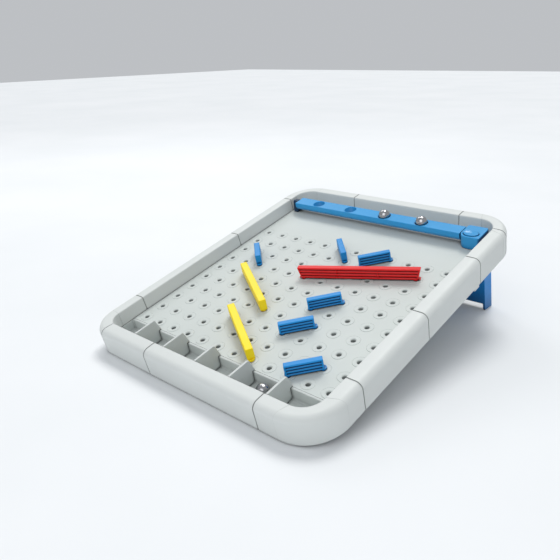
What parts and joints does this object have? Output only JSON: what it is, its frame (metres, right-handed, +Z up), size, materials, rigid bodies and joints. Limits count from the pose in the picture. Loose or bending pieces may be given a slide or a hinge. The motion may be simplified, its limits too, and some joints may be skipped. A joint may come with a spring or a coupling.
{
  "type": "tilt maze game",
  "caption": "Rounded grey peg board tray on a fold-out blue stand, with a tipping ball launcher, peg-in coloured walls, catch pockets and steel balls for a rolling ball puzzle.",
  "frame": {"origin": "centre of the footprint, on the table", "axes": "+Z up, +Y from the low pocket end to the raised launcher end, +X to the right when facing the raised end"},
  "size_m": [0.272, 0.3334, 0.1032],
  "materials": {
    "deck_grey": "satin moulded",
    "rim_grey": "satin gloss",
    "launcher_blue": "gloss",
    "stand_blue": "satin gloss",
    "wall_red": "gloss",
    "wall_yellow": "gloss",
    "wall_blue": "gloss",
    "ball_steel": "polished",
    "pin_steel": "drawn"
  },
  "bodies": {
    "tray": {"deck_plate": "deck_grey", "pocket_tray": "deck_grey", "pocket_divider_1": "deck_grey", "pocket_divider_2": "deck_grey", "pocket_divider_3": "deck_grey", "pocket_divider_4": "deck_grey", "pocket_divider_5": "deck_grey", "rim_front_rail": "rim_grey", "rim_front_right_corner": "rim_grey", "rim_right_front": "rim_grey", "rim_right_middle": "rim_grey", "rim_right_back": "rim_grey", "rim_back_right_corner": "rim_grey", "rim_back_rail": "rim_grey", "rim_back_left_corner": "rim_grey", "rim_left_back": "rim_grey", "rim_left_front": "rim_grey", "rim_front_left_corner": "rim_grey", "rim_front_left_rail": "rim_grey", "launcher_pivot_bracket": "launcher_blue", "release_housing": "launcher_blue", "stand_bracket_left": "rim_grey", "stand_bracket_right": "rim_grey", "stand_pin_left": "pin_steel", "stand_pin_right": "pin_steel", "return_spring": "pin_steel"},
    "stand": {"stand_panel": "stand_blue"},
    "launcher": {"launcher_bar": "launcher_blue"},
    "button": {"release_button": "launcher_blue"},
    "wall_red_long": {"wall_red_long": "wall_red"},
    "wall_yellow_1": {"wall_yellow_1": "wall_yellow"},
    "wall_yellow_2": {"wall_yellow_2": "wall_yellow"},
    "wall_blue_1": {"wall_blue_1": "wall_blue"},
    "wall_blue_2": {"wall_blue_2": "wall_blue"},
    "wall_blue_3": {"wall_blue_3": "wall_blue"},
    "wall_blue_4": {"wall_blue_4": "wall_blue"},
    "wall_blue_5": {"wall_blue_5": "wall_blue"},
    "wall_blue_6": {"wall_blue_6": "wall_blue"},
    "ball_launcher_3": {"ball_launcher_3": "ball_steel"},
    "ball_launcher_4": {"ball_launcher_4": "ball_steel"},
    "ball_in_pocket": {"ball_in_pocket": "ball_steel"}
  },
  "joints": [
    {"name": "stand_fold", "type": "hinge", "parent": "tray", "child": "stand", "pos_m": [0, 0.13377, 0.0776], "axis": [-1, 0, 0], "range_deg": [0, 90]},
    {"name": "button_press", "type": "slide", "parent": "tray", "child": "button", "axis": [0, 0.2436, -0.9699], "range_m": [0, 0.004], "stiffness_N_per_m": 300, "springref_m": -0.002, "deforming": ["return_spring"]},
    {"name": "launcher_tip", "type": "hinge", "parent": "tray", "child": "launcher", "pos_m": [0, 0.11103, 0.0922], "axis": [1, 0, 0], "range_deg": [0, 70]},
    {"name": "wall_red_long_pull", "type": "slide", "parent": "tray", "child": "wall_red_long", "axis": [0, -0.2436, 0.9699], "range_m": [0, 0.02]},
    {"name": "wall_yellow_1_pull", "type": "slide", "parent": "tray", "child": "wall_yellow_1", "axis": [0, -0.2436, 0.9699], "range_m": [0, 0.02]},
    {"name": "wall_yellow_2_pull", "type": "slide", "parent": "tray", "child": "wall_yellow_2", "axis": [0, -0.2436, 0.9699], "range_m": [0, 0.02]},
    {"name": "wall_blue_1_pull", "type": "slide", "parent": "tray", "child": "wall_blue_1", "axis": [0, -0.2436, 0.9699], "range_m": [0, 0.02]},
    {"name": "wall_blue_2_pull", "type": "slide", "parent": "tray", "child": "wall_blue_2", "axis": [0, -0.2436, 0.9699], "range_m": [0, 0.02]},
    {"name": "wall_blue_3_pull", "type": "slide", "parent": "tray", "child": "wall_blue_3", "axis": [0, -0.2436, 0.9699], "range_m": [0, 0.02]},
    {"name": "wall_blue_4_pull", "type": "slide", "parent": "tray", "child": "wall_blue_4", "axis": [0, -0.2436, 0.9699], "range_m": [0, 0.02]},
    {"name": "wall_blue_5_pull", "type": "slide", "parent": "tray", "child": "wall_blue_5", "axis": [0, -0.2436, 0.9699], "range_m": [0, 0.02]},
    {"name": "wall_blue_6_pull", "type": "slide", "parent": "tray", "child": "wall_blue_6", "axis": [0, -0.2436, 0.9699], "range_m": [0, 0.02]},
    {"name": "ball_launcher_3_lift", "type": "slide", "parent": "launcher", "child": "ball_launcher_3", "axis": [0, -0.2436, 0.9699], "range_m": [0, 0.02]},
    {"name": "ball_launcher_4_lift", "type": "slide", "parent": "launcher", "child": "ball_launcher_4", "axis": [0, -0.2436, 0.9699], "range_m": [0, 0.02]},
    {"name": "ball_in_pocket_roll", "type": "slide", "parent": "tray", "child": "ball_in_pocket", "axis": [1, 0, 0], "range_m": [-0.0122, 0.0122]}
  ],
  "couplings": [
    {"joint": "launcher_tip", "follows": "button_press", "rad_per_m": 305}
  ]
}
